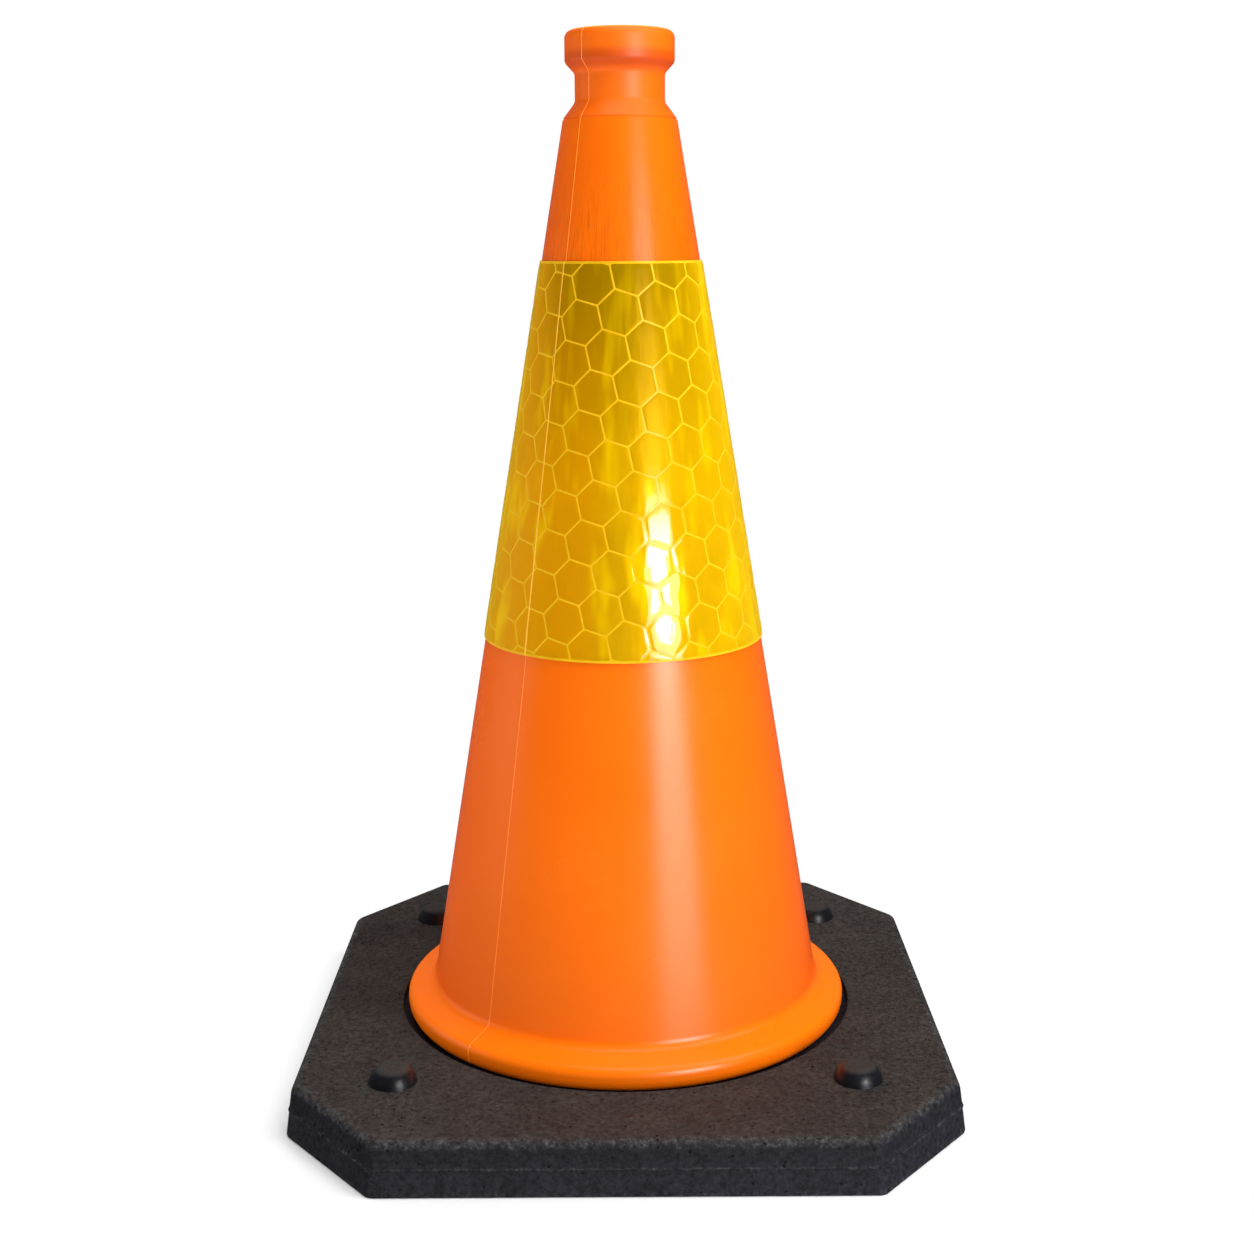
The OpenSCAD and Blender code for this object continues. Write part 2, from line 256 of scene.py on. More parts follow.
at_foot = add(tree, "ShaderNodeMapRange", {},
              {"Value": height, "From Min": 4.5 * mm, "From Max": 0.5 * mm, "To Min": 0.0, "To Max": 0.8})
rubbed = add(tree, "ShaderNodeMath", {"operation": "MAXIMUM"}, {0: rubbed, 1: at_flash})
rubbed = add(tree, "ShaderNodeMath", {"operation": "MAXIMUM"}, {0: rubbed, 1: at_foot})
patchy = add(tree, "ShaderNodeTexNoise", {},
             {"Vector": place, "Scale": 1 / (7 * mm), "Detail": 8.0, "Roughness": 0.85})
patchy = add(tree, "ShaderNodeMapRange", {},
             {"Value": patchy, "From Min": 0.48, "From Max": 0.64, "To Min": 0.0, "To Max": 1.0})
rubbed = add(tree, "ShaderNodeMath", {"operation": "MULTIPLY"}, {0: rubbed, 1: patchy})
# Painted shade: a darker band down the side, under the rounded top edge, as far as the flash.
above = add(tree, "ShaderNodeMapRange", {"interpolation_type": "SMOOTHSTEP"},
            {"Value": height, "From Min": base_thick - 2 * mm, "From Max": base_thick - 6 * mm,
             "To Min": 0.0, "To Max": 0.22})
under = add(tree, "ShaderNodeMapRange", {"interpolation_type": "SMOOTHSTEP"},
            {"Value": height, "From Min": flash_height + 1 * mm, "From Max": flash_height + 6 * mm,
             "To Min": 0.0, "To Max": 1.0})
shade_under_top_edge = add(tree, "ShaderNodeMath", {"operation": "MULTIPLY"}, {0: above, 1: under})
tone = add(tree, "ShaderNodeMixRGB", {}, {"Fac": shade_under_top_edge, "Color1": tone, "Color2": linear("#0e0e11")})
tone = add(tree, "ShaderNodeMixRGB", {}, {"Fac": rubbed, "Color1": tone, "Color2": linear("#434243")})
grain = add(tree, "ShaderNodeMapRange", {},
            {"Value": grit, "From Min": 0.32, "From Max": 0.68, "To Min": 0.3, "To Max": 1.7})
tone = add(tree, "ShaderNodeMixRGB", {"blend_type": "MULTIPLY"},
           {"Fac": 1.0, "Color1": tone, "Color2": grain})
tone = add(tree, "ShaderNodeMixRGB", {}, {"Fac": pit, "Color1": tone, "Color2": linear("#0c0b0c")})
tree.links.new(tone, shader.inputs["Base Color"])
dull = add(tree, "ShaderNodeMapRange", {},
           {"Value": grit, "From Min": 0.3, "From Max": 0.7, "To Min": 0.55, "To Max": 0.8})
tree.links.new(dull, shader.inputs["Roughness"])
shader.inputs["Specular IOR Level"].default_value = 0.15
bump = add(tree, "ShaderNodeBump", {}, {"Height": grit, "Strength": 1.0, "Distance": 0.9 * mm})
bump = add(tree, "ShaderNodeBump", {"invert": True},
           {"Height": pit, "Strength": 0.6, "Distance": 0.8 * mm, "Normal": bump})
tree.links.new(bump, shader.inputs["Normal"])
slab.data.materials.clear()
slab.data.materials.append(rubber)
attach(slab, "base")
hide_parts("rubber_base")

# Stacking studs. Blunt domes of smooth black rubber, pushed into the base by their stems,
# that keep stacked bases apart so that they can be pulled off one another.
stud_radius, stud_height, stud_top = 17 * mm, 11 * mm, 11 * mm
stud_knee, knee_share = 0.45 * stud_height, 0.93
stud_round, knee_round = 4.2 * mm, 3 * mm
dimple_inset, dimple_width, dimple_depth = 2.2 * mm, 0.7 * mm, 0.35 * mm
bpy.ops.object.select_all(action="DESELECT")
bpy.ops.mesh.primitive_cylinder_add(vertices=72, radius=stud_radius, depth=stud_height,
                                    location=(0, 0, base_thick + stud_height / 2))
stud = bpy.context.active_object
bpy.ops.object.transform_apply(location=True)
bpy.ops.object.mode_set(mode="EDIT")
select(stud, "FACE", level(base_thick + stud_height))
bpy.ops.transform.translate(value=(0, 0, stud_knee - stud_height))
bpy.ops.transform.resize(value=(knee_share, knee_share, 1), center_override=(0, 0, base_thick))
bpy.ops.mesh.extrude_region_move(TRANSFORM_OT_translate={"value": (0, 0, stud_height - stud_knee)})
top_share = stud_top / stud_radius / knee_share
bpy.ops.transform.resize(value=(top_share, top_share, 1), center_override=(0, 0, base_thick))
select(stud, "EDGE", level(base_thick + stud_height))
bpy.ops.mesh.bevel(offset=stud_round, segments=8, affect="EDGES")
select(stud, "EDGE", level(base_thick + stud_knee))
bpy.ops.mesh.bevel(offset=knee_round, segments=5, affect="EDGES")
select(stud, "FACE", level(base_thick + stud_height))
bpy.ops.mesh.inset(thickness=dimple_inset)
bpy.ops.mesh.inset(thickness=dimple_width, depth=-dimple_depth)
bpy.ops.mesh.inset(thickness=dimple_width, depth=dimple_depth)
select(stud, "FACE", level(base_thick))
bpy.ops.mesh.inset(thickness=stud_radius - stem_radius)
bpy.ops.mesh.extrude_region_move(TRANSFORM_OT_translate={"value": (0, 0, -stem_depth)})
bpy.ops.object.mode_set(mode="OBJECT")
bpy.ops.object.shade_smooth_by_angle(angle=math.radians(40))

# Smooth black rubber, moulded against polished steel: glossier than the base and painted bluer as shade on
# its sides, and paler on top from dust where the next base rests and from painted light from above.
stud_rubber, tree, shader = start_material("smooth_black_rubber")
place = add(tree, "ShaderNodeTexCoord", {}, {}, "Object")
grit = add(tree, "ShaderNodeTexNoise", {},
           {"Vector": place, "Scale": 1 / (4 * mm), "Detail": 4.0, "Roughness": 0.7})
height = add(tree, "ShaderNodeSeparateXYZ", {}, {"Vector": place}, "Z")
# Dust and painted light from above make the top paler.
dust_and_top_light = add(tree, "ShaderNodeMapRange", {"interpolation_type": "SMOOTHSTEP"},
           {"Value": height, "From Min": base_thick + stud_height - 3 * mm,
            "From Max": base_thick + stud_height - 0.5 * mm, "To Min": 0.0, "To Max": 1.0})
tone = add(tree, "ShaderNodeMixRGB", {},
           {"Fac": grit, "Color1": linear("#0d0e11"), "Color2": linear("#1c1c21")})
tone = add(tree, "ShaderNodeMixRGB", {}, {"Fac": dust_and_top_light, "Color1": tone, "Color2": linear("#302e2c")})
tree.links.new(tone, shader.inputs["Base Color"])
dull = add(tree, "ShaderNodeMapRange", {}, {"Value": dust_and_top_light, "To Min": 0.32, "To Max": 0.6})
tree.links.new(dull, shader.inputs["Roughness"])
shader.inputs["Specular IOR Level"].default_value = 0.3
bump = add(tree, "ShaderNodeBump", {}, {"Height": grit, "Strength": 0.35, "Distance": 0.5 * mm})
tree.links.new(bump, shader.inputs["Normal"])
stud.data.materials.append(stud_rubber)
for name, x, y in (("front_left", -1, -1), ("front_right", 1, -1),
                   ("rear_left", -1, 1), ("rear_right", 1, 1)):
    bpy.ops.object.select_all(action="DESELECT")
    stud.select_set(True)
    bpy.context.view_layer.objects.active = stud
    bpy.ops.object.duplicate()
    copy = bpy.context.active_object
    copy.name = "stacking_stud_" + name
    copy.location = (x * stud_x, y * stud_y, 0)
    bpy.ops.object.transform_apply(location=True)
    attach(copy, "base")
    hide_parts("stud_" + name)
bpy.data.objects.remove(stud)

# Cone. One hollow blow-moulded piece of orange polyethylene: rim, tapering wall, shoulder, neck and
# gripping bead, with a socket through the head. The two halves of the mould leave a fine raised seam.
rim_radius, rim_corner, rim_round = 167.5 * mm, 49 * mm, 8 * mm
lip_width, lip_round = 13.5 * mm, 11.6 * mm
foot_radius, foot_level, foot_fillet = 146.6 * mm, 57.5 * mm, 9 * mm
shoulder_radius, shoulder_level, shoulder_step = 40.5 * mm, 692 * mm, 0.7 * mm
neck_radius, neck_foot, neck_top = 31.7 * mm, 703.5 * mm, 723 * mm
bead_radius, bead_foot, cone_top = 38.6 * mm, 730.5 * mm, 752 * mm
socket_radius, cone_wall, spigot_foot = 27.5 * mm, 3.2 * mm, 14 * mm
lean = (foot_radius - shoulder_radius) / (shoulder_level - foot_level)
seam_turn, seam_height, seam_width, seam_root = 42, 0.45 * mm, 1.5 * mm, 0.5 * mm
seam_stop = cone_top - 1.2 * seam_height
neck_foot_round, neck_top_round, bead_round, head_round = 6 * mm, 5 * mm, 5 * mm, 5.5 * mm
mouth_land, inner_round, spigot_round, edge_round = 2 * mm, 1.6 * mm, 6 * mm, 0.8 * mm
step_rise, step_share = 0.1 * mm, 1.4
arc_steps, corner_share = 8, 0.7


def wall_radius(height):
    """Radius of the cone's outside, between the rim and the shoulder."""
    return foot_radius - lean * (height - foot_level)


def soften(corners):
    """Outline points through (radius, height, rounding) corners, with an arc at each rounded one."""
    points = []
    for i, (r, z, rounding) in enumerate(corners):
        at = Vector((r, z))
        if not rounding or i in (0, len(corners) - 1):
            points.append((r, z))
            continue
        back, on = Vector(corners[i - 1][:2]) - at, Vector(corners[i + 1][:2]) - at
        half = back.angle(on) / 2
        reach = min(rounding / math.tan(half), back.length * corner_share, on.length * corner_share)
        first, last = at + back.normalized() * reach, at + on.normalized() * reach
        middle = at + (back.normalized() + on.normalized()).normalized() * reach / math.cos(half)
        for k in range(arc_steps + 1):
            spoke = first.lerp(last, k / arc_steps) - middle
            points.append(tuple(middle + spoke.normalized() * reach * math.tan(half)))
    return points


outside = soften([
    (rim_radius - lip_width, seat_level, 0), (rim_radius, seat_level, lip_round),
    (rim_radius, rim_corner, rim_round), (foot_radius, foot_level, foot_fillet),
    (shoulder_radius, shoulder_level - shoulder_step, 0),
    (shoulder_radius - step_share * shoulder_step, shoulder_level + step_rise, 0),
    (shoulder_radius - shoulder_step, shoulder_level + step_share * shoulder_step, 0),
    (neck_radius, neck_foot, neck_foot_round), (neck_radius, neck_top, neck_top_round),
    (bead_radius, bead_foot, bead_round), (bead_radius, cone_top, head_round),
    (socket_radius + mouth_land, cone_top, 0)])
spigot_inside = wall_radius(seat_level) - cone_wall
spigot_outside = spigot_inside + cone_wall
rim_fall = (foot_level - rim_corner) / (rim_radius - foot_radius)


def roof(radius):
    """Height of the channel's roof, which is the underside of the rim's sloping top."""
    return foot_level - rim_fall * (radius - foot_radius) - cone_wall * math.hypot(1, rim_fall)


inside = soften([
    (socket_radius + mouth_land, cone_top, 0), (socket_radius, cone_top, inner_round),
    (socket_radius, neck_foot - cone_wall, inner_round),
    (wall_radius(shoulder_level - cone_wall) - cone_wall, shoulder_level - cone_wall, inner_round),
    (spigot_inside, seat_level, spigot_round), (spigot_inside, spigot_foot, edge_round),
    (spigot_outside, spigot_foot, edge_round), (spigot_outside, roof(spigot_outside), inner_round),
    (rim_radius - cone_wall, roof(rim_radius - cone_wall), inner_round),
    (rim_radius - cone_wall, seat_level + cone_wall, lip_round - cone_wall),
    (rim_radius - lip_width, seat_level + cone_wall, 0), (rim_radius - lip_width, seat_level, 0)])
cone = lathe("cone_moulding", outside + inside[1:], 240)


def ribbon(name, run, turn, width, crest, root):
    """A fine raised strip along (radius, height) points, in the plane at this turn left of the front."""
    piece = draw_line(name, run, -width / 2)
    for here in (-width / 2, 0):
        select(piece, "EDGE", lambda corners: all(abs(c.y - here) < touch for c in corners))
        bpy.ops.mesh.extrude_region_move(TRANSFORM_OT_translate={"value": (0, width / 2, 0)})
    bpy.ops.mesh.select_all(action="SELECT")
    bpy.ops.mesh.normals_make_consistent(inside=False)
    bpy.ops.object.mode_set(mode="OBJECT")
    outward = sum(face.normal.x * face.area for face in piece.data.polygons)
    bpy.ops.object.mode_set(mode="EDIT")
    bpy.ops.mesh.select_all(action="SELECT")
    if outward < 0:
        bpy.ops.mesh.flip_normals()
    select(piece, "VERT", lambda corners: abs(corners[0].y) < touch)
    bpy.ops.transform.shrink_fatten(value=crest)
    select(piece, "VERT", lambda corners: abs(corners[0].y) > touch)
    bpy.ops.transform.shrink_fatten(value=-root)
    bpy.ops.object.mode_set(mode="OBJECT")
    finish_with(piece, "SOLIDIFY", thickness=root, offset=-1)
    piece.data.transform(Matrix.Rotation(math.radians(270 - turn), 4, "Z"))
    return piece


run = [point for point in outside if seat_level + cone_wall < point[1] < seam_stop]
seams = [ribbon("mould_seam", run, turn, seam_width, seam_height, seam_root)
         for turn in (seam_turn, seam_turn + 180)]
bpy.data.materials.new("pale_polyethylene")
for part in seams:
    part.data.materials.append(bpy.data.materials["pale_polyethylene"])
cone.data.materials.append(bpy.data.materials.new("orange_polyethylene"))
bpy.ops.object.select_all(action="DESELECT")
for part in seams + [cone]:
    part.select_set(True)
bpy.context.view_layer.objects.active = cone
bpy.ops.object.join()
bpy.ops.object.shade_smooth_by_angle(angle=math.radians(38))

# Polyethylene, blow-moulded: satin, saturated orange, painted redder at a glancing angle as shade, with
# soft broad highlights, faint upright flow lines, a slightly uneven skin and scratches where sleeves slide
# on.
_, tree, shader = start_material("orange_polyethylene")
place = add(tree, "ShaderNodeTexCoord", {}, {}, "Object")
cloud = add(tree, "ShaderNodeTexNoise", {}, {"Vector": place, "Scale": 1 / (90 * mm), "Detail": 3.0})
edge_on = add(tree, "ShaderNodeLayerWeight", {}, {"Blend": 0.35}, "Facing")
facing_tone = add(tree, "ShaderNodeMixRGB", {},
                  {"Fac": cloud, "Color1": linear("#f96903"), "Color2": linear("#ff7504")})
# Painted shade: the orange turns redder and darker at a glancing angle.
tone = add(tree, "ShaderNodeMixRGB", {},
           {"Fac": edge_on, "Color1": facing_tone, "Color2": linear("#e65405")})
height = add(tree, "ShaderNodeSeparateXYZ", {}, {"Vector": place}, "Z")
# Painted light makes the rim brighter, painted shade darkens the top of the neck and the foot of the bead,
# and a painted highlight lights the edge on top.
# Painted light from above: the rim is brighter.
rim_painted_light = add(tree, "ShaderNodeMapRange", {"interpolation_type": "SMOOTHSTEP"},
           {"Value": height, "From Min": foot_level + 4.5 * mm, "From Max": foot_level - 3.5 * mm,
            "To Min": 0.0, "To Max": 0.9})
tone = add(tree, "ShaderNodeMixRGB", {}, {"Fac": rim_painted_light, "Color1": tone, "Color2": linear("#ff7402")})
# Painted shade on the top of the neck and the foot of the bead, fading out higher up the bead.
shade_under_bead = add(tree, "ShaderNodeMapRange", {"interpolation_type": "SMOOTHSTEP"},
           {"Value": height, "From Min": neck_top, "From Max": neck_top + 5 * mm, "To Min": 0.0,
            "To Max": 0.75})
shade_fade_above = add(tree, "ShaderNodeMapRange", {"interpolation_type": "SMOOTHSTEP"},
            {"Value": height, "From Min": bead_foot + 9.5 * mm, "From Max": bead_foot + 2.5 * mm,
             "To Min": 0.0, "To Max": 1.0})
shade_under_bead = add(tree, "ShaderNodeMath", {"operation": "MULTIPLY"}, {0: shade_under_bead, 1: shade_fade_above})
tone = add(tree, "ShaderNodeMixRGB", {}, {"Fac": shade_under_bead, "Color1": tone, "Color2": linear("#cc4402")})
lit_edge = add(tree, "ShaderNodeMapRange", {},
               {"Value": height, "From Min": cone_top - 1.6 * mm, "From Max": cone_top - 0.3 * mm,
                "To Min": 0.0, "To Max": 0.8})
tone = add(tree, "ShaderNodeMixRGB", {}, {"Fac": lit_edge, "Color1": tone, "Color2": linear("#ffa840")})
around = add(tree, "ShaderNodeVectorMath", {"operation": "MULTIPLY"}, {0: place, 1: (1, 1, 0)})
around = add(tree, "ShaderNodeVectorMath", {"operation": "NORMALIZE"}, {0: around})
# Upright flow lines and scratches run along the wall, so they are drawn on the direction outwards.
lines = add(tree, "ShaderNodeTexNoise", {},
            {"Vector": around, "Scale": 60.0, "Detail": 4.0, "Roughness": 0.65})
rise = add(tree, "ShaderNodeVectorMath", {"operation": "MULTIPLY"}, {0: place, 1: (0, 0, 0.4)})
upright = add(tree, "ShaderNodeVectorMath", {"operation": "ADD"}, {0: around, 1: rise})
scratch = add(tree, "ShaderNodeTexNoise", {},
              {"Vector": upright, "Scale": 110.0, "Detail": 3.0, "Roughness": 0.7})
scratch = add(tree, "ShaderNodeMapRange", {},
              {"Value": scratch, "From Min": 0.52, "From Max": 0.6, "To Min": 0.0, "To Max": 1.0})
scratched = add(tree, "ShaderNodeMapRange", {"interpolation_type": "SMOOTHSTEP"},
                {"Value": height, "From Min": shoulder_level - 16 * mm,
                 "From Max": shoulder_level - 77 * mm, "To Min": 0.0, "To Max": 0.42})
below = add(tree, "ShaderNodeMapRange", {"interpolation_type": "SMOOTHSTEP"},
            {"Value": height, "From Min": shoulder_level - 172 * mm, "From Max": shoulder_level - 97 * mm,
             "To Min": 0.0, "To Max": 1.0})
scratched = add(tree, "ShaderNodeMath", {"operation": "MULTIPLY"}, {0: scratched, 1: below})
scratched = add(tree, "ShaderNodeMath", {"operation": "MULTIPLY"}, {0: scratched, 1: scratch})
tone = add(tree, "ShaderNodeMixRGB", {}, {"Fac": scratched, "Color1": tone, "Color2": linear("#a03a06")})
tree.links.new(tone, shader.inputs["Base Color"])
# The skin is smoother on the wall than on the head, which hands have worn.
skin = add(tree, "ShaderNodeTexNoise", {}, {"Vector": place, "Scale": 1 / (4 * mm), "Detail": 2.0})
satin = add(tree, "ShaderNodeMapRange", {},
            {"Value": cloud, "From Min": 0.3, "From Max": 0.7, "To Min": 0.22, "To Max": 0.28})
handled = add(tree, "ShaderNodeMapRange", {"interpolation_type": "SMOOTHSTEP"},
              {"Value": height, "From Min": shoulder_level - 2 * mm, "From Max": shoulder_level + 10 * mm,
               "To Min": 0.0, "To Max": 0.18})
satin = add(tree, "ShaderNodeMath", {"operation": "ADD"}, {0: satin, 1: handled})
tree.links.new(satin, shader.inputs["Roughness"])
sheen = add(tree, "ShaderNodeMapRange", {},
            {"Value": edge_on, "From Min": 0.1, "From Max": 0.7, "To Min": 0.36, "To Max": 0.1})
tree.links.new(sheen, shader.inputs["Specular IOR Level"])
bump = add(tree, "ShaderNodeBump", {}, {"Height": lines, "Strength": 0.05, "Distance": 0.3 * mm})
bump = add(tree, "ShaderNodeBump", {},
           {"Height": skin, "Strength": 0.06, "Distance": 0.2 * mm, "Normal": bump})
tree.links.new(bump, shader.inputs["Normal"])

# The seam's edge, squeezed thin between the halves of the mould: paler, partly as thin flash that is a
# little translucent and partly as a painted highlight where the ridge catches the light.
_, tree, shader = start_material("pale_polyethylene")
place = add(tree, "ShaderNodeTexCoord", {}, {}, "Object")
cloud = add(tree, "ShaderNodeTexNoise", {}, {"Vector": place, "Scale": 1 / (6 * mm), "Detail": 3.0})
tone = add(tree, "ShaderNodeMixRGB", {},
           {"Fac": cloud, "Color1": linear("#ff8012"), "Color2": linear("#ff9c36")})
tree.links.new(tone, shader.inputs["Base Color"])
shader.inputs["Roughness"].default_value = 0.4
shader.inputs["Specular IOR Level"].default_value = 0.15
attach(cone, "cone")
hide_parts("cone_body")

# Face film of the sleeve. A flat sheet of clear yellow prismatic film, sealed to its backing along a
# honeycomb of fine lines, cut to a fan shape, wrapped round the cone and welded in a lap at the back.
sleeve_foot, sleeve_top, face_stand, face_thick = 323 * mm, 595 * mm, 1.2 * mm, 0.45 * mm
cell_radius, line_width, pillow = 16.54 * mm, 1.3 * mm, 0.22 * mm
slope_width, slope_share, crown_inset, cell_weld = 1.1 * mm, 0.6, 4 * mm, 0.02 * mm
lattice_turn, lattice_x, lattice_y = 12.1, -0.71 * mm, -386 * mm
cells_left, cells_above, cells_across, cells_down = 17, 7, 38, 26
lean_angle = math.atan(lean)
lean_sin, lean_cos = math.sin(lean_angle), math.cos(lean_angle)
apex = foot_level + (foot_radius + face_stand) / lean
fan_top, fan_foot = (apex - sleeve_top) / lean_cos, (apex - sleeve_foot) / lean_cos
lap_turn = 10
bpy.ops.object.select_all(action="DESELECT")
bpy.ops.mesh.primitive_circle_add(vertices=6, radius=cell_radius, fill_type="NGON")
film = bpy.context.active_object
film.name = "sleeve_film"
film.data.materials.append(bpy.data.materials.new("prismatic_film"))
film.data.materials.append(bpy.data.materials.new("sealed_film"))
film.data.materials.append(bpy.data.materials.new("creased_film"))
bpy.ops.object.mode_set(mode="EDIT")
bpy.ops.mesh.select_mode(type="FACE")
bpy.ops.mesh.select_all(action="SELECT")
film.active_material_index = 1
bpy.ops.object.material_slot_assign()
bpy.ops.mesh.inset(thickness=line_width / 2)
film.active_material_index = 0
bpy.ops.object.material_slot_assign()
bpy.ops.mesh.inset(thickness=slope_width)
bpy.ops.transform.translate(value=(0, 0, pillow * slope_share))
bpy.ops.mesh.inset(thickness=crown_inset)
bpy.ops.transform.translate(value=(0, 0, pillow * (1 - slope_share)))
bpy.ops.mesh.poke()
bpy.ops.mesh.select_all(action="SELECT")
bpy.ops.mesh.subdivide(number_cuts=2)
bpy.ops.object.mode_set(mode="OBJECT")
pitch = math.sqrt(3) * cell_radius
across, down = [Vector((math.cos(math.radians(turn)), math.sin(math.radians(turn)), 0)) * pitch
                for turn in (lattice_turn, lattice_turn - 60)]
film.data.transform(Matrix.Rotation(math.radians(lattice_turn), 4, "Z"))
first_cell = Vector((lattice_x, lattice_y, 0)) - across * cells_left - down * cells_above
film.data.transform(Matrix.Translation(first_cell))
for step, count in ((across, cells_across), (down, cells_down)):
    finish_with(film, "ARRAY", use_relative_offset=False, use_constant_offset=True,
                constant_offset_displace=step, count=count)

half_fan = (math.pi + math.radians(lap_turn)) * lean_sin
spare, spare_turn = 1.4 * pitch, 0.05


def off_fan(corners):
    """A test for select: the corner lies well outside the fan that is cut from the sheet."""
    x, y, _ = corners[0]
    return (not fan_top - spare < math.hypot(x, y) < fan_foot + spare
            or abs(math.atan2(x, -y)) > half_fan + spare_turn)


bpy.ops.object.mode_set(mode="EDIT")
select(film, "VERT", off_fan)
bpy.ops.mesh.delete(type="VERT")
bpy.ops.mesh.select_all(action="SELECT")
bpy.ops.mesh.remove_doubles(threshold=cell_weld)
bpy.ops.object.mode_set(mode="OBJECT")
# The fan is laid out straight, with X along its turn and Y along its slant, to be trimmed.
unroll, clean_cut = 80 * mm, 0.0001 * mm
for v in film.data.vertices:
    v.co = (math.atan2(v.co.x, -v.co.y) / lean_sin * unroll, math.hypot(v.co.x, v.co.y), v.co.z)
bpy.ops.object.mode_set(mode="EDIT")


def trim(axis, place, outward):
    """Cuts the sheet straight across at this place, and drops what lies outward if that is -1 or 1."""
    bpy.ops.mesh.select_all(action="SELECT")
    bpy.ops.mesh.bisect(plane_co=[place * a for a in axis], plane_no=axis, threshold=clean_cut,
                        clear_inner=outward < 0, clear_outer=outward > 0)


trim((0, 1, 0), fan_top, -1)
trim((0, 1, 0), fan_foot, 1)
trim((1, 0, 0), -math.pi * unroll, -1)
trim((1, 0, 0), (math.pi + math.radians(lap_turn)) * unroll, 1)
hem, crease_half, crease_spread = 1.7 * mm, 0.55 * mm, 0.75 * mm
crease_cuts = (-1.6 * mm, -1 * mm, -crease_half, 0, crease_half, 1 * mm, 1.6 * mm)
ripple, ripple_waves, ripple_bend, ripple_sway, ripple_drift = 0.1 * mm, 11, 2.2, 3, 90 * mm
lap_gap, film_clear = 0.25 * mm, 0.02 * mm
trim((0, 1, 0), fan_top + hem, 0)
trim((0, 1, 0), fan_foot - hem, 0)
seam_places = [math.radians(-seam_turn) * unroll, math.radians(180 - seam_turn) * unroll]
for place in seam_places:
    for shift in crease_cuts:
        trim((1, 0, 0), place + shift, 0)
select(film, "FACE", lambda corners: all(c.y < fan_top + hem + touch for c in corners)
       or all(c.y > fan_foot - hem - touch for c in corners))
film.active_material_index = 1
bpy.ops.object.material_slot_assign()
select(film, "FACE", lambda corners: any(
    all(abs(c.x - place) < crease_half + touch for c in corners) for place in seam_places))
film.active_material_index = 2
bpy.ops.object.material_slot_assign()
bpy.ops.object.mode_set(mode="OBJECT")
# It is rolled up round the cone, with slack ripples, a ridge over each mould seam and the lap on top.
for v in film.data.vertices:
    turn, out = v.co.x / unroll, v.co.y
    lift = v.co.z if fan_top + hem < out < fan_foot - hem else 0
    sway = ripple_sway * math.sin(out / ripple_drift)
    lift += ripple * (1 + math.sin(ripple_waves * turn + ripple_bend * math.sin(2 * turn) + sway))
    lift += seam_height * max(math.exp(-((v.co.x - place) / crease_spread) ** 2) for place in seam_places)
    if turn > math.pi - math.radians(lap_turn) / 2:
        lift += face_thick + lap_gap
    radius = out * lean_sin + lift * lean_cos
    v.co = (radius * math.sin(turn), -radius * math.cos(turn), apex - out * lean_cos + lift * lean_sin)
bpy.ops.object.mode_set(mode="EDIT")
bpy.ops.mesh.select_all(action="SELECT")
bpy.ops.mesh.normals_make_consistent(inside=False)
bpy.ops.object.mode_set(mode="OBJECT")
finish_with(film, "SOLIDIFY", thickness=face_thick - film_clear, offset=-1)
bpy.ops.object.select_all(action="DESELECT")
film.select_set(True)
bpy.ops.object.shade_smooth_by_angle(angle=math.radians(40))

# Prismatic film: deep gold prisms under a clear glossy skin that is worn dull higher up. It is darker face
# on and painted bright yellow at a glancing angle as reflection, with upright streaks of painted
# reflection, and orange shows through by the seam.
_, tree, shader = start_material("prismatic_film")
place = add(tree, "ShaderNodeTexCoord", {}, {}, "Object")
around = add(tree, "ShaderNodeVectorMath", {"operation": "MULTIPLY"}, {0: place, 1: (1, 1, 0)})
around = add(tree, "ShaderNodeVectorMath", {"operation": "NORMALIZE"}, {0: around})
rise = add(tree, "ShaderNodeVectorMath", {"operation": "MULTIPLY"}, {0: place, 1: (0, 0, 3)})
along = add(tree, "ShaderNodeVectorMath", {"operation": "ADD"}, {0: around, 1: rise})
waves = add(tree, "ShaderNodeTexNoise", {},
            {"Vector": along, "Scale": 7.0, "Detail": 2.0, "Roughness": 0.5})
# Painted reflection: upright streaks of bright yellow.
reflected_streak = add(tree, "ShaderNodeTexNoise", {},
             {"Vector": along, "Scale": 5.0, "Detail": 2.0, "Roughness": 0.5})
reflected_streak = add(tree, "ShaderNodeMapRange", {"interpolation_type": "SMOOTHSTEP"},
             {"Value": reflected_streak, "From Min": 0.5, "From Max": 0.7, "To Min": 0.0, "To Max": 0.7})
edge_on = add(tree, "ShaderNodeLayerWeight", {}, {"Blend": 0.4}, "Facing")
mottle = add(tree, "ShaderNodeTexNoise", {}, {"Vector": place, "Scale": 1 / (20 * mm), "Detail": 4.0})
tone = add(tree, "ShaderNodeMixRGB", {},
           {"Fac": mottle, "Color1": linear("#c09100"), "Color2": linear("#e0a803")})
height = add(tree, "ShaderNodeSeparateXYZ", {}, {"Vector": place}, "Z")
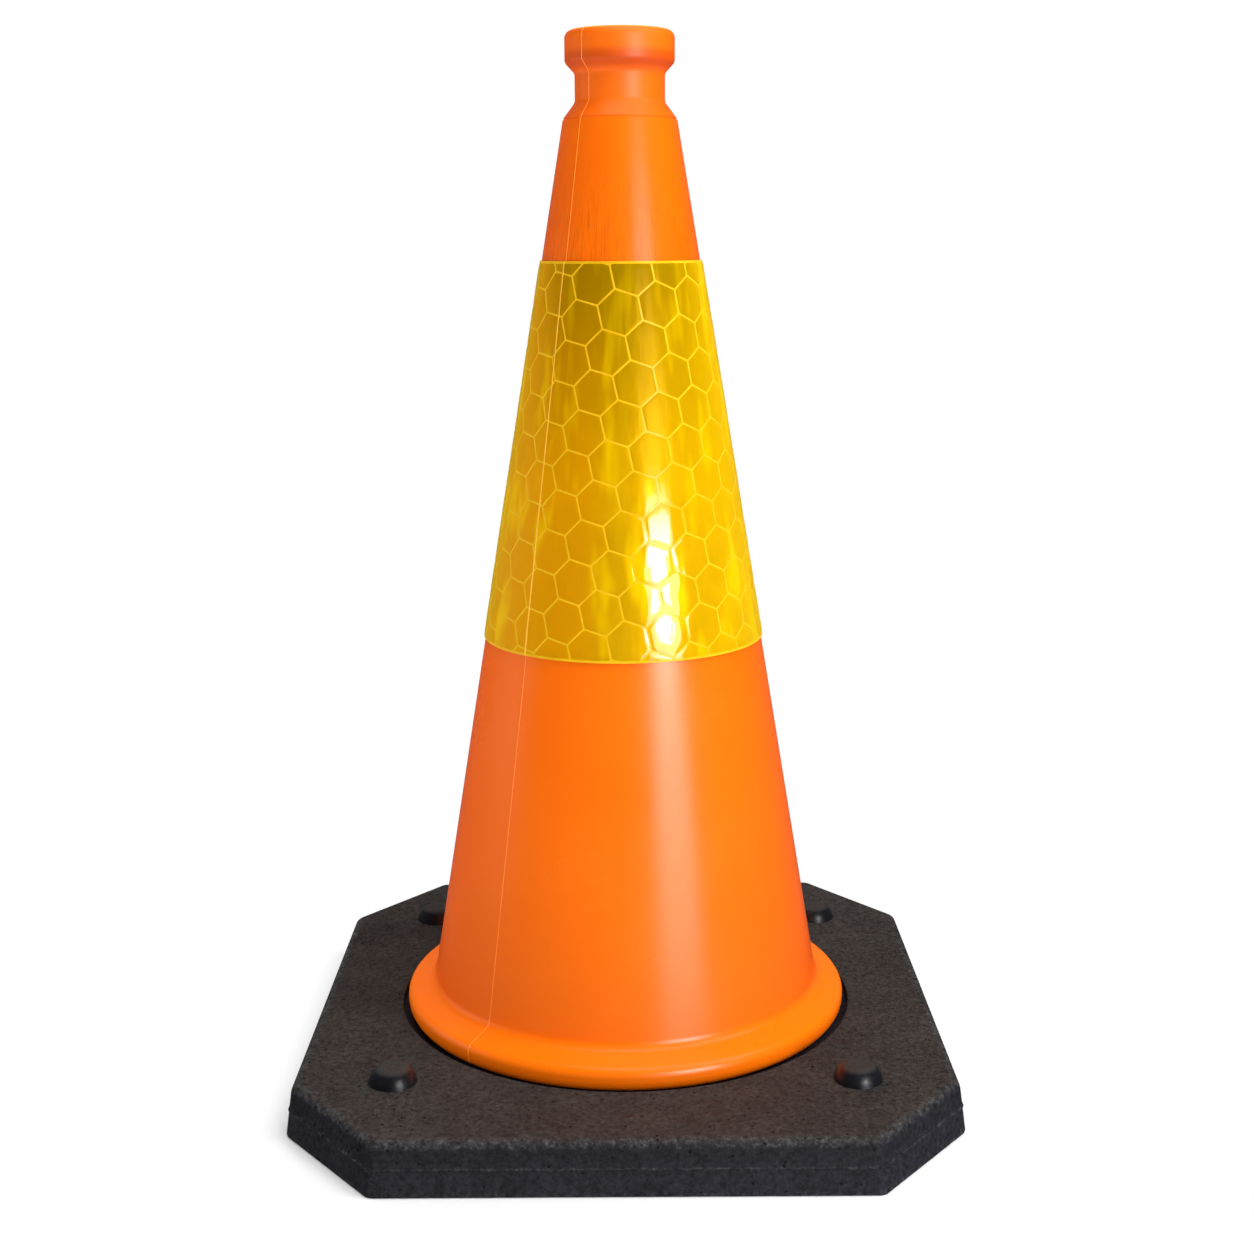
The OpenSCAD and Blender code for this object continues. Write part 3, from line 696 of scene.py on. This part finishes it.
# Painted reflection: brighter yellow at a glancing angle.
tone = add(tree, "ShaderNodeMixRGB", {}, {"Fac": edge_on, "Color1": tone, "Color2": linear("#deb400")})
seam_way = (-math.sin(math.radians(seam_turn)), -math.cos(math.radians(seam_turn)), 0)
by_seam = add(tree, "ShaderNodeVectorMath", {"operation": "DOT_PRODUCT"}, {0: around, 1: seam_way}, "Value")
by_seam = add(tree, "ShaderNodeMath", {"operation": "ABSOLUTE"}, {0: by_seam})
by_seam = add(tree, "ShaderNodeMapRange", {"interpolation_type": "SMOOTHSTEP"},
              {"Value": by_seam, "From Min": 0.75, "From Max": 0.98, "To Min": 0.0, "To Max": 0.6})
tone = add(tree, "ShaderNodeMixRGB", {}, {"Fac": by_seam, "Color1": tone, "Color2": linear("#ea9200")})
# Darker towards the top when seen face on, and the painted streaks are kept to the lower part.
upper = add(tree, "ShaderNodeMapRange", {},
            {"Value": height, "From Min": sleeve_foot + 117 * mm, "From Max": sleeve_top - 5 * mm,
             "To Min": 0.0, "To Max": 0.8})
face_on = add(tree, "ShaderNodeMapRange", {},
              {"Value": edge_on, "From Min": 0.15, "From Max": 0.55, "To Min": 1.0, "To Max": 0.15})
upper = add(tree, "ShaderNodeMath", {"operation": "MULTIPLY"}, {0: upper, 1: face_on})
tone = add(tree, "ShaderNodeMixRGB", {}, {"Fac": upper, "Color1": tone, "Color2": linear("#8a6a00")})
lower = add(tree, "ShaderNodeMath", {"operation": "SUBTRACT"}, {0: 1.0, 1: upper})
reflected_streak = add(tree, "ShaderNodeMath", {"operation": "MULTIPLY"}, {0: reflected_streak, 1: lower})
tone = add(tree, "ShaderNodeMixRGB", {}, {"Fac": reflected_streak, "Color1": tone, "Color2": linear("#f6c800")})
tree.links.new(tone, shader.inputs["Base Color"])
shader.inputs["Metallic"].default_value = 0.12
shader.inputs["Roughness"].default_value = 0.35
shader.inputs["Specular IOR Level"].default_value = 0.05
shader.inputs["Specular Tint"].default_value = linear("#ffe070")
clear = add(tree, "ShaderNodeMapRange", {},
            {"Value": edge_on, "From Min": 0.15, "From Max": 0.6, "To Min": 1.0, "To Max": 0.0})
unworn = add(tree, "ShaderNodeMapRange", {"interpolation_type": "SMOOTHSTEP"},
             {"Value": height, "From Min": sleeve_foot + 127 * mm, "From Max": sleeve_foot + 72 * mm,
              "To Min": 0.02, "To Max": 1.0})
clear = add(tree, "ShaderNodeMath", {"operation": "MULTIPLY"}, {0: clear, 1: unworn})
tree.links.new(clear, shader.inputs["Coat Weight"])
shader.inputs["Coat IOR"].default_value = 1.5
shader.inputs["Coat Roughness"].default_value = 0.04
bump = add(tree, "ShaderNodeBump", {}, {"Height": waves, "Strength": 0.3, "Distance": 2.5 * mm})
tree.links.new(bump, shader.inputs["Normal"])
tree.links.new(bump, shader.inputs["Coat Normal"])

# Sealed film: along the seal lines the prisms are melted flat, so they show as plain bright yellow.
# Creased film: stretched over the cone's seam, it is paler, with orange showing through.
for name, low, high, gloss in (("sealed_film", "#dca40a", "#f6c424", 0.5),
                               ("creased_film", "#fcb02a", "#ffce50", 0.05)):
    _, tree, shader = start_material(name)
    place = add(tree, "ShaderNodeTexCoord", {}, {}, "Object")
    cloud = add(tree, "ShaderNodeTexNoise", {}, {"Vector": place, "Scale": 1 / (12 * mm), "Detail": 2.0})
    tone = add(tree, "ShaderNodeMixRGB", {}, {"Fac": cloud, "Color1": linear(low), "Color2": linear(high)})
    tree.links.new(tone, shader.inputs["Base Color"])
    shader.inputs["Roughness"].default_value = 0.3
    shader.inputs["Specular IOR Level"].default_value = 0.05
    edge_on = add(tree, "ShaderNodeLayerWeight", {}, {"Blend": 0.4}, "Facing")
    clear = add(tree, "ShaderNodeMapRange", {},
                {"Value": edge_on, "From Min": 0.15, "From Max": 0.6, "To Min": gloss, "To Max": 0.0})
    tree.links.new(clear, shader.inputs["Coat Weight"])
    shader.inputs["Coat IOR"].default_value = 1.3
    shader.inputs["Coat Roughness"].default_value = 0.06
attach(film, "sleeve")
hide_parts("sleeve_face")

# Backing film of the sleeve. Plain pale film behind the face, seen only at the edges
# and from inside when the sleeve is off.
backing, tree, shader = start_material("plain_backing_film")
place = add(tree, "ShaderNodeTexCoord", {}, {}, "Object")
cloud = add(tree, "ShaderNodeTexNoise", {}, {"Vector": place, "Scale": 1 / (25 * mm), "Detail": 3.0})
tone = add(tree, "ShaderNodeMixRGB", {},
           {"Fac": cloud, "Color1": linear("#d9c58a"), "Color2": linear("#e8d8a4")})
tree.links.new(tone, shader.inputs["Base Color"])
dull = add(tree, "ShaderNodeMapRange", {}, {"Value": cloud, "To Min": 0.4, "To Max": 0.55})
tree.links.new(dull, shader.inputs["Roughness"])
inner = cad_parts["sleeve_backing"]
for slot in inner.material_slots:
    slot.material = backing

# Floor and light. A plain white floor, a key lamp to the front right whose highlight shows, a small
# window lamp that only adds gloss, soft lamps all round that only fill, and a dim surround.
bpy.ops.object.select_all(action="DESELECT")
floor_size, shade_reach = 12, 25 * mm
bpy.ops.mesh.primitive_plane_add(size=floor_size, location=(0, 0, 0))
floor = bpy.context.active_object
floor.name = "floor"
paper, tree, shader = start_material("white_paper")
shader.inputs["Base Color"].default_value = linear("#ebebeb")
shader.inputs["Roughness"].default_value = 0.9
shader.inputs["Specular IOR Level"].default_value = 0.1
seen = tree.nodes.new("ShaderNodeLightPath")
place = add(tree, "ShaderNodeTexCoord", {}, {}, "Object")
reach = beyond_sides(tree, place)
# The camera sees pure white beyond the soft shade that lies close round the base.
share = add(tree, "ShaderNodeMapRange", {"interpolation_type": "SMOOTHSTEP"},
            {"Value": reach, "From Min": 0.0, "From Max": shade_reach, "To Min": 0.15, "To Max": 1.0})
share = add(tree, "ShaderNodeMath", {"operation": "MULTIPLY"}, {0: seen.outputs["Is Camera Ray"], 1: share})
glow = add(tree, "ShaderNodeEmission", {}, {"Color": (1, 1, 1, 1), "Strength": 1.0})
mixed = add(tree, "ShaderNodeMixShader", {}, {0: share, 1: shader.outputs[0], 2: glow})
tree.links.new(mixed, tree.nodes["Material Output"].inputs["Surface"])
floor.data.materials.append(paper)
floor.visible_glossy = False

surround = bpy.data.worlds.new("surround")
bpy.context.scene.world = surround
surround.use_nodes = True
tree = surround.node_tree
seen = tree.nodes.new("ShaderNodeLightPath")
toward = add(tree, "ShaderNodeTexCoord", {}, {}, "Generated")
depth = add(tree, "ShaderNodeSeparateXYZ", {}, {"Vector": toward}, "Y")
backdrop = add(tree, "ShaderNodeMapRange", {"interpolation_type": "SMOOTHSTEP"},
               {"Value": depth, "From Min": 0.2, "From Max": 0.85, "To Min": 0.02, "To Max": 0.12})
mirrored = add(tree, "ShaderNodeMath", {"operation": "MAXIMUM"},
               {0: seen.outputs["Is Glossy Ray"], 1: seen.outputs["Is Transmission Ray"]})
glow = add(tree, "ShaderNodeMixRGB", {},
           {"Fac": mirrored, "Color1": (0.15, 0.15, 0.15, 1), "Color2": backdrop})
glow = add(tree, "ShaderNodeMixRGB", {},
           {"Fac": seen.outputs["Is Camera Ray"], "Color1": glow, "Color2": (1, 1, 1, 1)})
tree.links.new(glow, tree.nodes["Background"].inputs["Color"])

lamp_aim = Vector((0, 0, 0.38))
for name, at, size, power in (
        ("key_lamp", (0.98, -1.5, 0.62), (0.8, 1.2), 19),
        ("window_lamp", (0.98, -1.5, 0.64), (0.45, 0.24), 7),
        ("top_lamp", (0.2, -0.3, 2.3), (1.6, 1.6), 32),
        ("left_lamp", (-1.5, 0.2, 0.45), (1.2, 0.8), 12),
        ("right_lamp", (1.4, -0.5, 1.9), (1.0, 1.0), 29),
        ("back_lamp", (-0.5, 1.7, 1.2), (1.2, 1.2), 14)):
    lamp = bpy.data.lights.new(name, "AREA")
    lamp.shape, lamp.energy, lamp.size, lamp.size_y = "RECTANGLE", power, size[0], size[1]
    lamp_object = bpy.data.objects.new(name, lamp)
    bpy.context.scene.collection.objects.link(lamp_object)
    lamp_object.location = at
    lamp_object.visible_glossy = name in ("key_lamp", "window_lamp")
    lamp_object.visible_diffuse = name != "window_lamp"
    lamp_object.rotation_euler = (lamp_aim - Vector(at)).to_track_quat("-Z", "Y").to_euler()

# Camera, at the photograph's angle: 1.3 m in front and 0.6 m up, looking down 12 degrees.
# The focal length was fitted in the photograph's pixels.
sensor, focal_pixels, picture_pixels = 36, 1809.6, 1254
look_down, roll = 0.2115, math.radians(-0.34)
camera = bpy.data.cameras.new("camera")
camera.sensor_width, camera.lens = sensor, sensor * focal_pixels / picture_pixels
camera_object = bpy.data.objects.new("camera", camera)
bpy.context.scene.collection.objects.link(camera_object)
camera_object.location = (2.8 * mm, -1320.2 * mm, 610.2 * mm)
tilt = Matrix.Rotation(math.pi / 2 - look_down, 4, "X") @ Matrix.Rotation(roll, 4, "Z")
camera_object.rotation_euler = tilt.to_euler()
bpy.context.scene.camera = camera_object
bpy.context.scene.view_settings.view_transform = "Standard"
